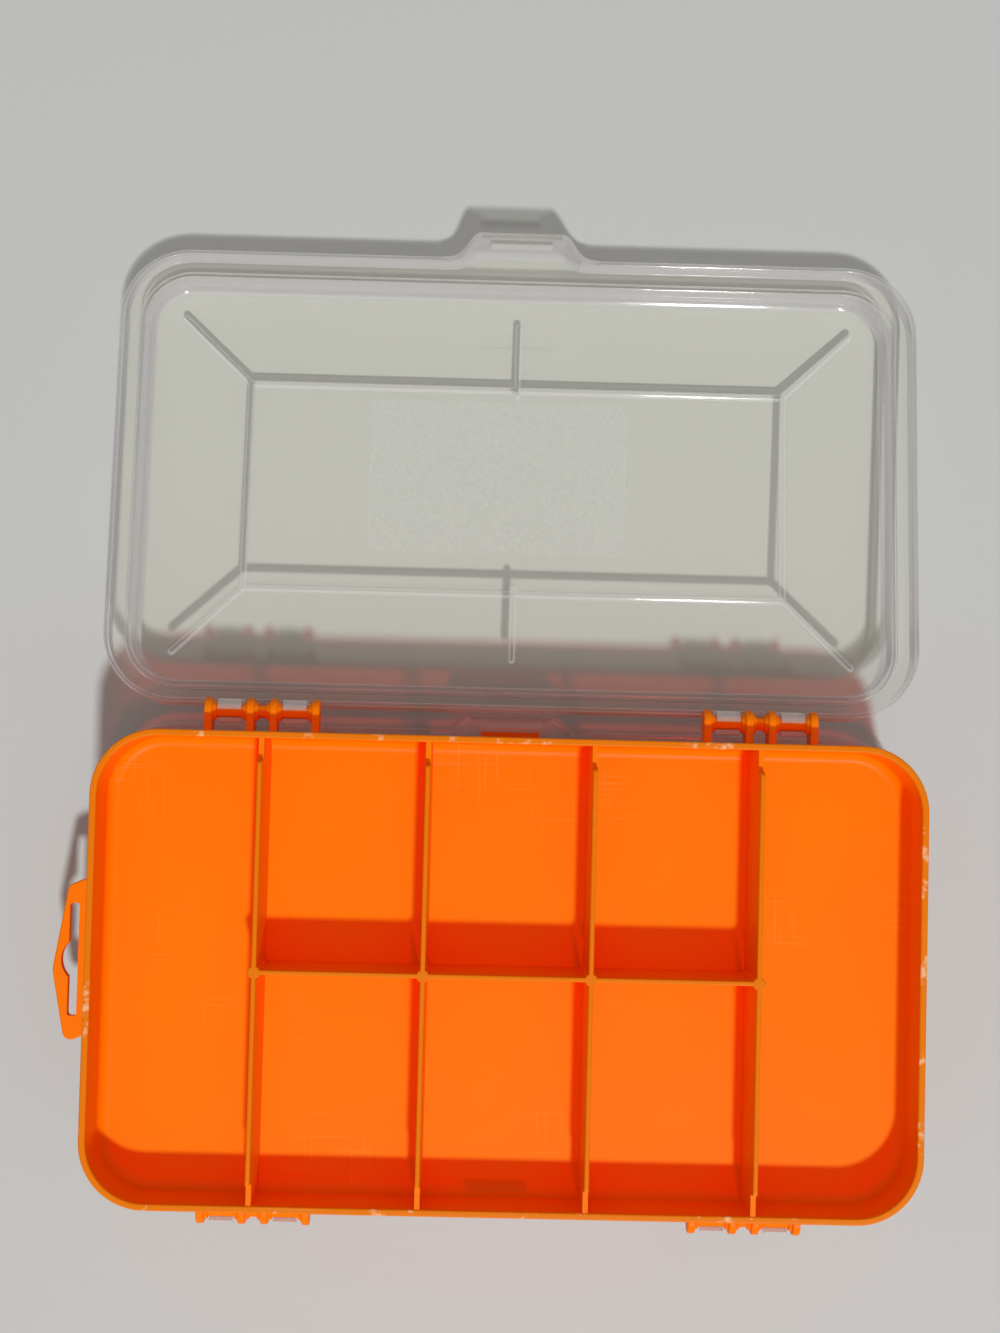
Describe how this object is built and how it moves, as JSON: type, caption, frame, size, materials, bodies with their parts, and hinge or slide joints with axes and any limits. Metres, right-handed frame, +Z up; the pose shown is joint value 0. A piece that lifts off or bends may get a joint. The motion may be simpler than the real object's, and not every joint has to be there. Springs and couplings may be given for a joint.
{
  "type": "double-sided storage box",
  "caption": "Flat plastic storage box with divided compartments on both faces, a clear hinged snap lid over each face and a slotted hang tab on one end.",
  "frame": {"origin": "on the surface the box stands on, under the middle of the closed box (centre of the lower lid's outer face)", "axes": "+X to the right along the long side, away from the hang tab; +Y to the back, where the upper lid's hinges are; +Z up"},
  "size_m": [0.1669, 0.1956, 0.0385],
  "materials": {
    "orange_plastic": "satin gloss",
    "clear_plastic": "clear gloss"
  },
  "bodies": {
    "base": {"tray_shell": "orange_plastic", "upper_divider_1": "orange_plastic", "upper_divider_2": "orange_plastic", "upper_divider_3": "orange_plastic", "upper_divider_4": "orange_plastic", "upper_cross_divider_1": "orange_plastic", "upper_cross_divider_2": "orange_plastic", "upper_cross_divider_3": "orange_plastic", "lower_divider_1": "orange_plastic", "lower_divider_2": "orange_plastic", "lower_divider_3": "orange_plastic", "lower_divider_4": "orange_plastic", "lower_cross_divider_1": "orange_plastic", "lower_cross_divider_2": "orange_plastic", "lower_cross_divider_3": "orange_plastic", "upper_left_hinge": "orange_plastic", "upper_right_hinge": "orange_plastic", "lower_left_hinge": "orange_plastic", "lower_right_hinge": "orange_plastic", "upper_catch": "orange_plastic", "lower_catch": "orange_plastic", "hang_tab": "orange_plastic"},
    "upper_lid": {"upper_lid": "clear_plastic"},
    "lower_lid": {"lower_lid": "clear_plastic"}
  },
  "joints": [
    {"name": "upper_lid_hinge", "type": "hinge", "parent": "base", "child": "upper_lid", "pos_m": [0, 0.0483, 0.027], "axis": [1, 0, 0], "range_deg": [0, 186.5]},
    {"name": "lower_lid_hinge", "type": "hinge", "parent": "base", "child": "lower_lid", "pos_m": [0, -0.0483, 0.017], "axis": [-1, 0, 0], "range_deg": [0, 186.5]}
  ]
}
